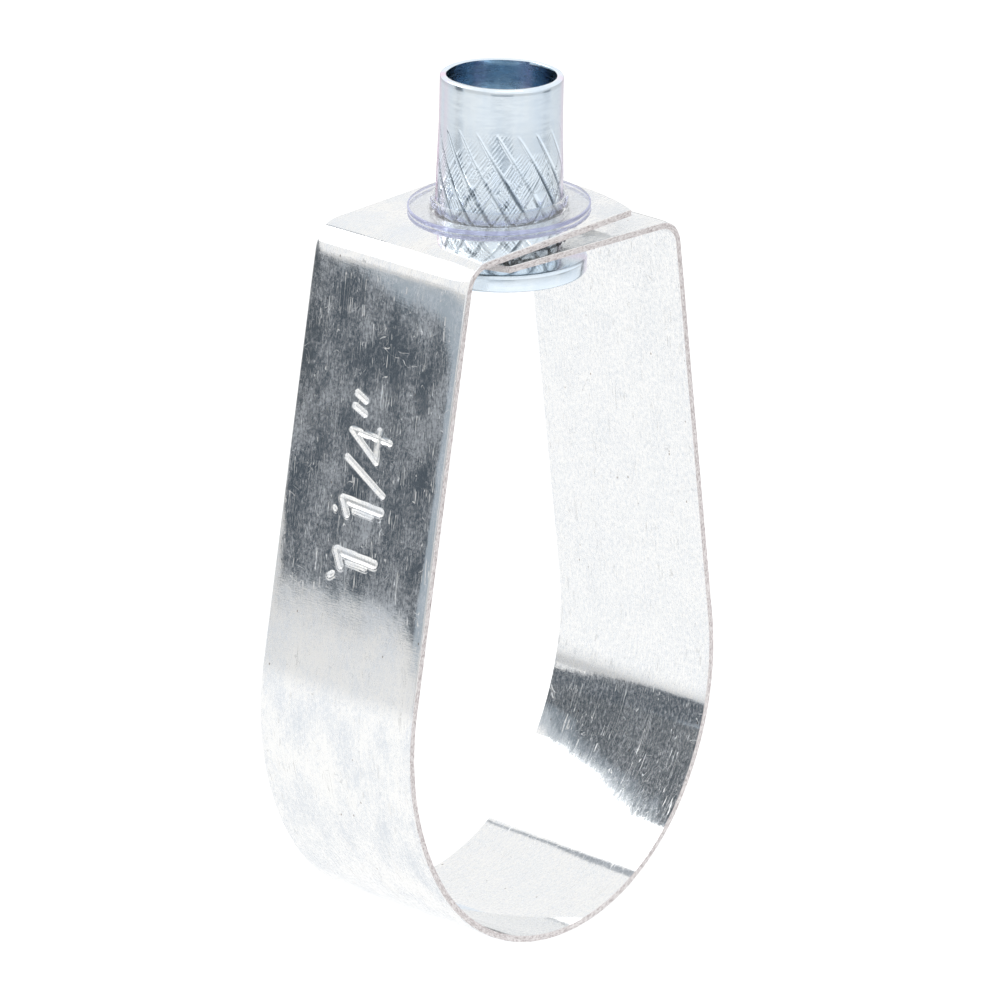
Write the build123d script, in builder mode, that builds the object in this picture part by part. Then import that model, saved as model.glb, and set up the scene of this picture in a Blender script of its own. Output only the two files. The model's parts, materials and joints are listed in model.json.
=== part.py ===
from build123d import *
from math import acos, atan2, cos, degrees, hypot, pi, radians, sin, sqrt, tan
import os

# Swivel ring hanger for a pipe, in millimetres.
# The pipe lies along Y and its seat is centred on the origin. The hanger rod comes down
# along Z into the nut. Left is -X and right is +X.

# Band: one strip of sheet steel, folded into a pear-shaped ring
strip_width = 22.2
strip_thickness = 0.8
seat_radius = 22.0              # the round bottom, which carries a pipe of 42.2 outside
seat_half_angle = 56.0          # degrees of seat on each side of straight down
inside_half_width = 23.2        # at the widest level, from the axis to the strip
shoulder_half_width = 15.66     # from the axis to where leg and lower leaf meet, inside
bend_inside_radius = 2.4        # where a leg turns into its leaf
lower_leaf_height = 54.16       # underside of the lower leaf above the pipe's axis
leaf_gap = 1.2                  # between the leaves, measured at the rod's axis
upper_leaf_rise = 3.27          # degrees that the upper leaf climbs to the right
lower_tip_room = 3.46           # from the lower leaf's tip to the left shoulder
upper_tip_room = 4.81           # from the upper leaf's tip to the right shoulder
leaf_end_radius = 30.0          # the curve of a leaf's end, seen from above
leaf_hole_clearance = 0.35      # around the nut's knurl
strip_edge_round = 0.2          # outer corners rolled over by the shear
cut_overrun = 0.1               # how far a cut runs past the strip's faces

# Nut: one turned and knurled piece that the rod screws into from above
nut_height = 21.45
knurl_radius = 6.8              # over the crests
knurl_run_in = 3.8              # height over which the knurl rises to its full radius
groove_count = 19               # coarse left-hand grooves round the knurl
groove_slant = 32.0             # degrees from the rod's axis
groove_depth = 0.25
groove_width = 0.5
collar_step = 0.23              # how far the smooth collar lies inside the knurl's crests
collar_height = 5.0
mouth_wall = 0.68               # between the collar and the smooth lead-in at the top
mouth_depth = 6.0
mouth_cone_angle = 45.0         # degrees from the axis, down to the threaded hole
rim_bevel = 0.2
thread_radius = 3.97            # over the crests of the thread for a 9.5 rod
thread_lead_in = 0.5            # chamfer at the foot of the threaded hole
flange_width = 2.7              # how far the flange stands out from the knurl
flange_height = 1.95
flange_round = 0.45
flange_drop = 2.0               # free travel between the flange and the lower leaf

# Washer: one soft ring that grips the knurl and lies on the upper leaf
washer_width = 2.92             # from its bore to its rim
washer_thickness = 0.5
washer_bore_clearance = 0.08
washer_seat_clearance = 0.05
lip_height = 1.0                # the inner edge, turned up round the knurl
lip_width = 0.45

# Ring: the legs are tangent to the side arcs and meet the leaves at the shoulders
seat_end = radians(seat_half_angle)
side_radius = (inside_half_width - seat_radius * sin(seat_end)) / (1 - sin(seat_end))
side_x = inside_half_width - side_radius
side_z = (side_radius - seat_radius) * cos(seat_end)
shoulder_run = shoulder_half_width - side_x
shoulder_climb = lower_leaf_height - side_z
lean = atan2(shoulder_climb, shoulder_run) - acos(side_radius / hypot(shoulder_run, shoulder_climb))

# Leaves
rise = radians(upper_leaf_rise)
upper_leaf_height = lower_leaf_height + strip_thickness + leaf_gap
lower_leaf_reach = shoulder_half_width - lower_tip_room
upper_leaf_reach = shoulder_half_width - upper_tip_room
leaf_end_sag = leaf_end_radius - sqrt(leaf_end_radius**2 - (strip_width / 2) ** 2)
leaf_hole_radius = knurl_radius + leaf_hole_clearance
leaf_cut = strip_thickness / 2 + cut_overrun

# Nut and washer
flange_radius = knurl_radius + flange_width
flange_top = lower_leaf_height - flange_drop
nut_foot = flange_top - flange_height
nut_top = nut_foot + nut_height
collar_radius = knurl_radius - collar_step
collar_foot = nut_top - collar_height
mouth_radius = collar_radius - mouth_wall
mouth_foot = nut_top - mouth_depth
cone_foot = mouth_foot - (mouth_radius - thread_radius) / tan(radians(mouth_cone_angle))
groove_foot = flange_top + groove_width
groove_pitch = 2 * pi * knurl_radius / tan(radians(groove_slant))
washer_bore_radius = knurl_radius + washer_bore_clearance
washer_foot = strip_thickness + washer_seat_clearance


def above_upper_leaf(distance):
    """Plane parallel to the upper leaf, at a distance above its underside."""
    return Plane(
        (0, 0, upper_leaf_height + distance / cos(rise)),
        x_dir=(cos(rise), 0, sin(rise)),
        z_dir=(-sin(rise), 0, cos(rise)),
    )


def band_line(out):
    """One face of the strip in the XZ plane, a distance outside its inner face.

    Returns the line's two ends, at the tip of the upper leaf and of the lower leaf.
    """
    foot_x = side_x + (side_radius + out) * cos(lean)
    foot_z = side_z + (side_radius + out) * sin(lean)
    lower_z = lower_leaf_height + out
    upper_z = upper_leaf_height + out / cos(rise)
    right_bend_x = foot_x - (lower_z - foot_z) * tan(lean)
    left_bend_x = ((upper_z - foot_z) * tan(lean) - foot_x) / (1 - tan(rise) * tan(lean))
    side_span = 90 + degrees(lean) - seat_half_angle
    upper_tip_x = (upper_leaf_reach + cut_overrun) * cos(rise)
    upper_tip = (upper_tip_x, upper_z + upper_tip_x * tan(rise))
    lower_tip = (-lower_leaf_reach - cut_overrun, lower_z)

    FilletPolyline(
        upper_tip,
        (left_bend_x, upper_z + left_bend_x * tan(rise)),
        (-foot_x, foot_z),
        radius=bend_inside_radius + out,
    )
    CenterArc((-side_x, side_z), side_radius + out, 180 - degrees(lean), side_span)
    CenterArc((0, 0), seat_radius + out, 270 - seat_half_angle, 2 * seat_half_angle)
    CenterArc((side_x, side_z), side_radius + out, seat_half_angle - 90, side_span)
    FilletPolyline(
        (foot_x, foot_z),
        (right_bend_x, lower_z),
        lower_tip,
        radius=bend_inside_radius + out,
    )
    return upper_tip, lower_tip


os.makedirs("parts", exist_ok=True)

# Band
with BuildPart() as band:
    with BuildSketch(Plane.XZ):
        with BuildLine():
            inner_upper_tip, inner_lower_tip = band_line(0)
            outer_upper_tip, outer_lower_tip = band_line(strip_thickness)
            Line(inner_upper_tip, outer_upper_tip)
            Line(inner_lower_tip, outer_lower_tip)
        make_face()
    extrude(amount=strip_width / 2, both=True)

    # The outer corners of both edges, rolled over
    ring_middle = Vector(0, 0, upper_leaf_height / 2)
    sheared_edges = ShapeList()
    for face in band.faces():
        looks_out = face.normal_at().dot(face.center() - ring_middle) > 0
        if looks_out and face.area > strip_width * strip_thickness * 2:
            sheared_edges += face.edges().filter_by(
                lambda edge: abs(abs(edge.center().Y) - strip_width / 2) < cut_overrun
            )
    fillet(sheared_edges, strip_edge_round)

    # Round leaf ends and the two holes that the nut turns in
    for middle, side, reach in (
        (Plane.XY.offset(lower_leaf_height + strip_thickness / 2), -1, lower_leaf_reach),
        (above_upper_leaf(strip_thickness / 2), 1, upper_leaf_reach),
    ):
        with BuildSketch(middle):
            with Locations((side * (reach + cut_overrun - leaf_end_sag / 2), 0)):
                Rectangle(leaf_end_sag + 2 * cut_overrun, strip_width + 2 * cut_overrun)
            with Locations((side * (reach - leaf_end_radius), 0)):
                Circle(leaf_end_radius, mode=Mode.SUBTRACT)
            Circle(leaf_hole_radius)
        extrude(amount=leaf_cut, both=True, mode=Mode.SUBTRACT)
band.part.label = "band"
export_step(band.part, "parts/band.step")

# One knurl groove: a V swept along a steep left-hand helix
with BuildPart() as groove:
    with BuildLine() as groove_path:
        Helix(
            pitch=groove_pitch,
            height=collar_foot - groove_foot,
            radius=knurl_radius,
            center=(0, 0, groove_foot),
            lefthand=True,
        )
    with BuildSketch(groove_path.line ^ 0):
        Polygon(
            (-groove_depth, 0),
            (groove_depth, -groove_width),
            (groove_depth, groove_width),
            align=None,
        )
    sweep(is_frenet=True)

# Nut
with BuildPart() as swivel_nut:
    with BuildSketch(Plane.XZ):
        with BuildLine():
            Polyline(
                (thread_radius + thread_lead_in, nut_foot),
                (flange_radius, nut_foot),
                (flange_radius, flange_top),
                (knurl_radius, flange_top),
                (knurl_radius, collar_foot - knurl_run_in),
                (collar_radius, collar_foot),
                (collar_radius, nut_top),
                (mouth_radius, nut_top),
                (mouth_radius, mouth_foot),
                (thread_radius, cone_foot),
                (thread_radius, nut_foot + thread_lead_in),
                close=True,
            )
        make_face()
    revolve(axis=Axis.Z)
    round_edges = swivel_nut.edges().filter_by(GeomType.CIRCLE)
    flange_edges = round_edges.filter_by(
        lambda edge: abs(edge.radius - flange_radius) < cut_overrun
    )
    rim_edges = round_edges.group_by(Axis.Z)[-1]
    fillet(flange_edges, flange_round)
    chamfer(rim_edges, rim_bevel)
    with PolarLocations(0, groove_count):
        add(groove.part, mode=Mode.SUBTRACT)
swivel_nut.part.label = "swivel_nut"
export_step(swivel_nut.part, "parts/swivel_nut.step")

# Washer
with BuildPart() as retaining_washer:
    with BuildSketch(above_upper_leaf(washer_foot)):
        Circle(washer_bore_radius + washer_width)
    extrude(amount=washer_thickness)
    with BuildSketch(above_upper_leaf(washer_foot + washer_thickness)):
        Circle(washer_bore_radius + lip_width)
    extrude(amount=lip_height)
    with BuildSketch(Plane.XY.offset(upper_leaf_height)):
        Circle(washer_bore_radius)
    extrude(amount=nut_height, mode=Mode.SUBTRACT)
retaining_washer.part.label = "retaining_washer"
export_step(retaining_washer.part, "parts/retaining_washer.step")
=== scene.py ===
"""Looks of a swivel ring hanger: folded galvanised strip, knurled swivel nut and clear washer.

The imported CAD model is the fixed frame. Each piece is built here in millimetres, in the
frame's own axes, and turned into metres when its mesh is made. The pipe lies along Y, the
hanger rod comes down along Z, left is -X and right is +X.
"""

from __future__ import annotations

import json
import logging
import math
from dataclasses import dataclass, field
from enum import Enum, IntEnum

import bmesh
import bpy
import numpy as np
from mathutils import Matrix, Vector

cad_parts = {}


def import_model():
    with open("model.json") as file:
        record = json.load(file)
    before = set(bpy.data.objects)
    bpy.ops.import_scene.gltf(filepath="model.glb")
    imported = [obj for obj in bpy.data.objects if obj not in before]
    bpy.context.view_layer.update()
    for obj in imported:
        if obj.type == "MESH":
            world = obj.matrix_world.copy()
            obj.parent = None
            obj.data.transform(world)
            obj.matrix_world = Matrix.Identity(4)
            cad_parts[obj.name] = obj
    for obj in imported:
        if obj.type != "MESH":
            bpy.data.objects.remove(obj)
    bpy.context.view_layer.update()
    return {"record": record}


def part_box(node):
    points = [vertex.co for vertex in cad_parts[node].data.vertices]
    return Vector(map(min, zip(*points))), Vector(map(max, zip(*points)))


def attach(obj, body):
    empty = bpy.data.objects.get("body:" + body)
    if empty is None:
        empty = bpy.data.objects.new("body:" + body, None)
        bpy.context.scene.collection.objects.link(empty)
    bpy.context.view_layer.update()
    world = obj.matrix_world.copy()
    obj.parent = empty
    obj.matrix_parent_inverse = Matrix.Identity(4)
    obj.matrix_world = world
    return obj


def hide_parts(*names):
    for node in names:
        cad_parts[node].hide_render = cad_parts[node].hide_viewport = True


LOG = logging.getLogger("ring_hanger")
MM = 0.001
FULL_TURN = 2 * math.pi
NOISE_CELLS = 64
WHITE = (1.0, 1.0, 1.0, 1.0)

Colour = tuple[float, float, float]
Point2 = tuple[float, float]
Point3 = tuple[float, float, float]
Faces = list[tuple[int, ...]]
Socket = bpy.types.NodeSocket


class Body(Enum):
    """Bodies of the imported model, which are also its nodes."""

    NUT = "swivel_nut"
    WASHER = "retaining_washer"
    BAND = "band"


class Slot(Enum):
    """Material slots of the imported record."""

    STRIP = "galvanised_strip"
    PLATED = "zinc_plated_steel"
    VINYL = "clear_vinyl"


class Face(Enum):
    """Which face of the strip a point lies on, as the strip attribute's third number."""

    INSIDE = 0.0
    OUTSIDE = 1.0
    CUT = 2.0


class Seed(IntEnum):
    """Seeds of the random fields, by what they make uneven. The hatches name theirs themselves."""

    SHEET_SLOW = 11
    SHEET_QUICK = 12
    TORN_EDGE = 21
    GROOVE_START = 31
    GROOVE_DEPTH = 32
    RIM_WOBBLE = 41
    RIM_BURR = 42
    WASHER_LIP = 51
    WASHER_RIM = 52


def held(value: np.ndarray) -> np.ndarray:
    """Holds each value between 0 and 1."""
    return np.clip(value, 0.0, 1.0)


def eased(share: np.ndarray) -> np.ndarray:
    """Gives a share from 0 to 1 soft ends."""
    return share * share * (3 - 2 * share)


def ramp(value: np.ndarray, low: float | np.ndarray, high: float | np.ndarray) -> np.ndarray:
    """Smooth step from 0 at low to 1 at high, either way round."""
    return eased(held((value - low) / (high - low)))


def value_noise(x: np.ndarray, y: np.ndarray | float, seed: int) -> np.ndarray:
    """Smooth random field with a cell of one unit.

    Args:
        x: First coordinate of each point.
        y: Second coordinate of each point, or one for all.
        seed: Which field; the same seed always gives the same field.

    Returns:
        One value from -1 to 1 for each point.
    """
    table = np.random.default_rng(int(seed)).uniform(-1.0, 1.0, (NOISE_CELLS, NOISE_CELLS))
    column, row = np.floor(x).astype(int), np.floor(y).astype(int)
    u, v = eased(x - column), eased(y - row)
    left, right = column % NOISE_CELLS, (column + 1) % NOISE_CELLS
    low, high = row % NOISE_CELLS, (row + 1) % NOISE_CELLS
    here = table[low, left] * (1 - u) + table[low, right] * u
    above = table[high, left] * (1 - u) + table[high, right] * u
    return here * (1 - v) + above * v


@dataclass(frozen=True)
class Grain:
    """Fractal noise: cells per millimetre along each axis, octaves, and how strong each finer one is."""

    cells: Point3
    octaves: float = 3.0
    strength: float = 0.6


class NodeGraph:
    """The nodes of one material or of the world, with short ways to add and join them."""

    def __init__(self, owner: bpy.types.ID, output: str = "OutputMaterial") -> None:
        """Clears the owner's nodes and adds its output.

        Args:
            owner: The material or world.
            output: The output node's type.
        """
        owner.use_nodes = True
        self.owner = owner
        self.tree = owner.node_tree
        self.tree.nodes.clear()
        self.surface = self.add(output).inputs["Surface"]

    def add(
        self, kind: str, inputs: dict[str | int, object] | None = None, **settings: object
    ) -> bpy.types.Node:
        """Adds a node.

        Args:
            kind: Blender's name for the node's type, without ShaderNode in front.
            inputs: Sockets or plain values for its inputs, by name or number.
            settings: Properties of the node to set.

        Returns:
            The new node.
        """
        node = self.tree.nodes.new("ShaderNode" + kind)
        for name, value in settings.items():
            setattr(node, name, value)
        for key, value in (inputs or {}).items():
            self.put(node.inputs[key], value)
        return node

    def put(self, target: Socket, value: object) -> None:
        """Links a socket to an input, or sets a plain value on it.

        Args:
            target: The input.
            value: The socket or the plain value.
        """
        if isinstance(value, bpy.types.NodeSocket):
            self.tree.links.new(value, target)
        else:
            target.default_value = value

    def shade(self, kind: str, inputs: dict[str | int, object] | None = None) -> Socket:
        """Adds a node and gives its first output."""
        return self.add(kind, inputs).outputs[0]

    def attribute(self, name: str) -> bpy.types.Node:
        """Reads a mesh attribute."""
        return self.add("Attribute", attribute_name=name)

    def scaled(self, vector: Socket, scale: Point3) -> Socket:
        """Stretches a coordinate by a factor for each axis."""
        return self.shade("Mapping", {"Vector": vector, "Scale": scale})

    def turned(self, vector: Socket, degrees: float) -> Socket:
        """Turns a coordinate about its third axis."""
        return self.shade("Mapping", {"Vector": vector, "Rotation": (0.0, 0.0, math.radians(degrees))})

    def object_place(self) -> Socket:
        """The place in the object's own axes, in millimetres."""
        return self.scaled(self.add("TexCoord").outputs["Object"], (1 / MM, 1 / MM, 1 / MM))

    def noise(self, vector: Socket, grain: Grain) -> Socket:
        """Fractal noise, about 0.5.

        Args:
            vector: The coordinate.
            grain: The noise's scale and octaves.

        Returns:
            The noise's value.
        """
        place = self.scaled(vector, grain.cells)
        inputs = {"Vector": place, "Scale": 1.0, "Detail": grain.octaves, "Roughness": grain.strength}
        return self.add("TexNoise", inputs).outputs["Fac"]

    def math(self, operation: str, a: object, b: object = 0.0) -> Socket:
        """One sum on two sockets or numbers.

        Args:
            operation: Blender's name for the operation.
            a: First socket or number.
            b: Second socket or number.

        Returns:
            The result's socket.
        """
        return self.add("Math", {0: a, 1: b}, operation=operation).outputs["Value"]

    def layered(self, *layers: tuple[Socket, object]) -> Socket:
        """Adds up noises, each taken about 0 and scaled.

        Args:
            layers: Each noise's value and its share, a number or a socket.

        Returns:
            The sum, about 0.
        """
        total: object = 0.0
        for value, share in layers:
            part = self.math("MULTIPLY", self.math("SUBTRACT", value, 0.5), share)
            total = self.math("ADD", total, part)
        return total

    def spread(self, value: Socket, source: Point2, result: Point2 = (0.0, 1.0)) -> Socket:
        """Maps a range of a socket's value to another range, clamped.

        Args:
            value: The socket.
            source: The values that become the result's two.
            result: The results at those values.

        Returns:
            The mapped socket.
        """
        inputs = {"Value": value, "From Min": source[0], "From Max": source[1]}
        inputs.update({"To Min": result[0], "To Max": result[1]})
        return self.add("MapRange", inputs).outputs["Result"]

    def blend(self, share: Socket, first: object, second: object) -> Socket:
        """Mixes two colours.

        Args:
            share: Share of the second colour.
            first: Colour or socket at share 0.
            second: Colour or socket at share 1.

        Returns:
            The mixed colour's socket.
        """
        node = self.add("Mix", {"Factor": share}, data_type="RGBA")
        for name, colour in (("A", first), ("B", second)):
            socket = [s for s in node.inputs if s.name == name and s.type == "RGBA"][0]
            self.put(socket, (*colour, 1.0) if isinstance(colour, tuple) else colour)
        return [s for s in node.outputs if s.type == "RGBA"][0]

    def bump(self, height: Socket, distance_mm: float) -> Socket:
        """Wrinkles a surface by a height, whose full range is distance_mm.

        Args:
            height: The height's socket.
            distance_mm: Millimetres from height 0 to height 1.

        Returns:
            The wrinkled normal's socket.
        """
        return self.shade("Bump", {"Strength": 1.0, "Distance": distance_mm * MM, "Height": height})

    def principled(self, inputs: dict[str, object]) -> bpy.types.Material:
        """Ends a finish with its shader.

        Args:
            inputs: Sockets or plain values for the shader's inputs.

        Returns:
            The material.
        """
        self.put(self.surface, self.shade("BsdfPrincipled", inputs))
        return self.owner


@dataclass(frozen=True)
class Scratches:
    """Thin broken lines that bend a little, as handling leaves them.

    They mostly run at an angle in degrees, with cells per millimetre along and across them.
    A line is as wide as a step in the noise, and is kept where a second noise is high.
    """

    degrees: float
    grain: Grain
    width: float
    kept: float
    core: float = 0.35
    breaks: Grain = Grain((0.45, 0.45, 1.0), 2.0)
    fade: float = 0.04

    def draw(self, graph: NodeGraph, place: Socket) -> Socket:
        """Draws the lines.

        Args:
            graph: The finish's nodes.
            place: The coordinate.

        Returns:
            1 on a line, 0 off it.
        """
        way = graph.turned(place, self.degrees)
        away = graph.math("ABSOLUTE", graph.math("SUBTRACT", graph.noise(way, self.grain), 0.5))
        line = graph.spread(away, (self.width * self.core, self.width), (1.0, 0.0))
        mask = graph.spread(graph.noise(way, self.breaks), (self.kept, self.kept + self.fade))
        return graph.math("MULTIPLY", line, mask)


@dataclass(frozen=True)
class Specks:
    """Scattered dots, with their radius in cells and the share of the cells that stays empty."""

    stretch: Point3 = (0.7, 1.3, 1.0)
    per_mm: float = 0.6
    radius: float = 0.075
    empty: float = 0.6

    def draw(self, graph: NodeGraph, place: Socket) -> Socket:
        """Draws the dots.

        Args:
            graph: The finish's nodes.
            place: The coordinate.

        Returns:
            1 in a dot, 0 outside.
        """
        inputs = {"Vector": graph.scaled(place, self.stretch), "Scale": self.per_mm}
        cells = graph.add("TexVoronoi", inputs, feature="F1").outputs
        dot = graph.spread(cells["Distance"], (self.radius / 2, self.radius), (1.0, 0.0))
        chance = graph.add("SeparateColor", {"Color": cells["Color"]}).outputs["Red"]
        return graph.math("MULTIPLY", dot, graph.math("GREATER_THAN", chance, self.empty))


@dataclass(frozen=True)
class GalvanisedFinish:
    """Bright galvanised sheet: a near mirror, broken by fine streaks, mottling and scratches."""

    bright: Colour = (0.93, 0.925, 0.91)
    dull: Colour = (0.88, 0.92, 0.97)
    speck: Colour = (0.33, 0.28, 0.25)
    roughness: Point2 = (0.045, 0.075)
    scratch_rough: float = 0.28
    stamp_share: float = 0.9
    bloom: float = 0.50
    streaks: Grain = Grain((1.0, 8.0, 1.0), 5.0, 0.65)
    streak_share: float = 0.22
    mottling: Grain = Grain((2.0, 2.6, 1.0), 8.0, 0.78)
    mottling_share: float = 0.48
    patches: Grain = Grain((0.15, 0.26, 1.0))
    patch_shares: Point2 = (0.08, 0.34)
    wear_range: Point2 = (-0.04, 0.09)
    long_scratches: Scratches = Scratches(3.0, Grain((0.12, 2.6, 1.0), 1.0, 0.4), 0.016, 0.50)
    stray_ways: tuple[Point2, ...] = ((-38.0, 0.60), (76.0, 0.61), (24.0, 0.60))
    stray_grain: Grain = Grain((0.2, 0.9, 1.0), 1.0, 0.4)
    stray_width: float = 0.007
    dots: Specks = Specks()
    combed: Grain = Grain((6.5, 0.9, 1.0))
    combed_share: float = 0.35
    rolled: Grain = Grain((0.8, 1.3, 1.0), 2.0, 0.5)
    rolled_share: float = 0.8
    relief_mm: float = 0.0025

    def wear(self, graph: NodeGraph, place: Socket) -> Socket:
        """How worn the sheet is: streaks and mottling, and wide patches mostly on the outside face.

        Args:
            graph: The finish's nodes.
            place: The strip's coordinate, whose third number tells the face.

        Returns:
            0 where the sheet is bright, 1 where it is dull.
        """
        face = graph.add("SeparateXYZ", {0: place}).outputs[2]
        total = graph.layered(
            (graph.noise(place, self.streaks), self.streak_share),
            (graph.noise(place, self.mottling), self.mottling_share),
            (graph.noise(place, self.patches), graph.spread(face, (0.0, 1.0), self.patch_shares)),
        )
        return graph.spread(total, self.wear_range)

    def scratches(self, graph: NodeGraph, place: Socket) -> Socket:
        """Draws the long scratches, then finer stray ones in three directions.

        Args:
            graph: The finish's nodes.
            place: The strip's coordinate.

        Returns:
            1 on a line, 0 off it.
        """
        lines = self.long_scratches.draw(graph, place)
        for degrees, kept in self.stray_ways:
            stray = Scratches(degrees, self.stray_grain, self.stray_width, kept)
            lines = graph.math("MAXIMUM", lines, stray.draw(graph, place))
        return lines

    def material(self) -> bpy.types.Material:
        """Builds the material from the strip attribute, which holds millimetres along and across.

        Returns:
            The material.
        """
        graph = NodeGraph(bpy.data.materials.new("galvanised_sheet"))
        place = graph.attribute("strip").outputs["Vector"]
        stamp = graph.attribute("stamp").outputs["Fac"]
        wear, lines = self.wear(graph, place), self.scratches(graph, place)
        worn = graph.math("MAXIMUM", lines, graph.math("MULTIPLY", stamp, self.stamp_share))
        scuffed = graph.math("MULTIPLY", worn, self.scratch_rough)
        dulled = graph.math("MAXIMUM", wear, lines)
        colour = graph.blend(wear, self.bright, self.dull)
        roughness = graph.spread(wear, (0.0, 1.0), self.roughness)
        relief = graph.layered(
            (graph.noise(place, self.combed), self.combed_share),
            (graph.noise(place, self.rolled), self.rolled_share),
        )
        return graph.principled({
            "Base Color": graph.blend(self.dots.draw(graph, place), colour, self.speck),
            "Roughness": graph.math("MAXIMUM", roughness, scuffed),
            "Metallic": graph.spread(dulled, (0.0, 1.0), (1.0, 1.0 - self.bloom)),
            "Normal": graph.bump(relief, self.relief_mm),
        })


@dataclass(frozen=True)
class ShearedFinish:
    """The strip's sheared edge: bare steel, torn and speckled."""

    pale: Colour = (0.96, 0.92, 0.915)
    dark: Colour = (0.42, 0.36, 0.36)
    torn: Grain = Grain((3.0, 8.0, 8.0), 6.0, 0.8)
    dark_range: Point2 = (0.45, 0.64)
    rough_range: Point2 = (0.3, 0.7)
    roughness: Point2 = (0.3, 0.6)
    metallic: float = 0.8
    relief_mm: float = 0.03

    def material(self) -> bpy.types.Material:
        """Builds the material from the strip attribute.

        Returns:
            The material.
        """
        graph = NodeGraph(bpy.data.materials.new("sheared_steel"))
        torn = graph.noise(graph.attribute("strip").outputs["Vector"], self.torn)
        return graph.principled({
            "Base Color": graph.blend(graph.spread(torn, self.dark_range), self.pale, self.dark),
            "Roughness": graph.spread(torn, self.rough_range, self.roughness),
            "Metallic": self.metallic,
            "Normal": graph.bump(torn, self.relief_mm),
        })


@dataclass(frozen=True)
class PlatedFinish:
    """Clear zinc plate: pale blue, mirror-like on the collar, with painted shade at the foot of its
    grooves.
    """

    name: str = "clear_zinc_plate"
    pale: Colour = (0.87, 0.945, 1.0)
    blue: Colour = (0.77, 0.875, 0.98)
    # Colour of the painted shade at the foot of the knurl's grooves.
    painted_groove_shade: Colour = (0.17, 0.21, 0.25)
    # Pink of the painted iridescent sheen at the barrel's sides.
    blush: Colour = (0.95, 0.68, 0.86)
    roughness: Point2 = (0.09, 0.24)
    rough_range: Point2 = (0.35, 0.7)
    turned: Grain = Grain((0.5, 0.5, 3.0), 4.0)
    turned_share: float = 0.25
    cloud: Grain = Grain((0.35, 0.35, 0.06))
    cloud_share: float = 0.75
    blue_range: Point2 = (-0.12, 0.14)
    dimples: Grain = Grain((4.0, 4.0, 4.0))
    relief_mm: float = 0.002

    def material(self) -> bpy.types.Material:
        """Builds the material in object space, with the nut's painted groove shade and painted sheen
        attributes.

        Returns:
            The material.
        """
        graph = NodeGraph(bpy.data.materials.new(self.name))
        place = graph.object_place()
        turned = graph.noise(place, self.turned)
        cloud = graph.noise(place, self.cloud)
        mixed = graph.layered((turned, self.turned_share), (cloud, self.cloud_share))
        colour = graph.blend(graph.spread(mixed, self.blue_range), self.pale, self.blue)
        # Painted sheen: the pink tint is laid on where the sheen attribute is high.
        colour = graph.blend(graph.attribute("blush").outputs["Fac"], colour, self.blush)
        return graph.principled({
            # The groove attribute darkens the foot of the knurl's grooves: painted shade where they close
            # in.
            "Base Color": graph.blend(graph.attribute("groove").outputs["Fac"], colour, self.painted_groove_shade),
            "Roughness": graph.spread(turned, self.rough_range, self.roughness),
            "Metallic": 1.0,
            "Normal": graph.bump(graph.noise(place, self.dimples), self.relief_mm),
        })


@dataclass(frozen=True)
class VinylFinish:
    """Soft clear vinyl with a violet-blue cast, deeper where the light runs along it to the rim."""

    name: str = "clear_vinyl"
    cast: Colour = (0.975, 0.985, 1.0)
    clear: float = 0.90
    roughness: Point2 = (0.02, 0.05)
    rough_range: Point2 = (0.3, 0.7)
    bending: float = 1.06
    gloss: float = 0.7
    flow: Grain = Grain((0.3, 0.3, 0.3), 2.0, 0.5)
    relief_mm: float = 0.01

    def material(self) -> bpy.types.Material:
        """Builds the material in object space.

        Returns:
            The material.
        """
        graph = NodeGraph(bpy.data.materials.new(self.name))
        flow = graph.noise(graph.object_place(), self.flow)
        return graph.principled({
            "Base Color": (*self.cast, 1.0),
            "Transmission Weight": self.clear,
            "IOR": self.bending,
            "Coat Weight": self.gloss,
            "Coat Roughness": self.roughness[1],
            "Roughness": graph.spread(flow, self.rough_range, self.roughness),
            "Normal": graph.bump(flow, self.relief_mm),
        })


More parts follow.
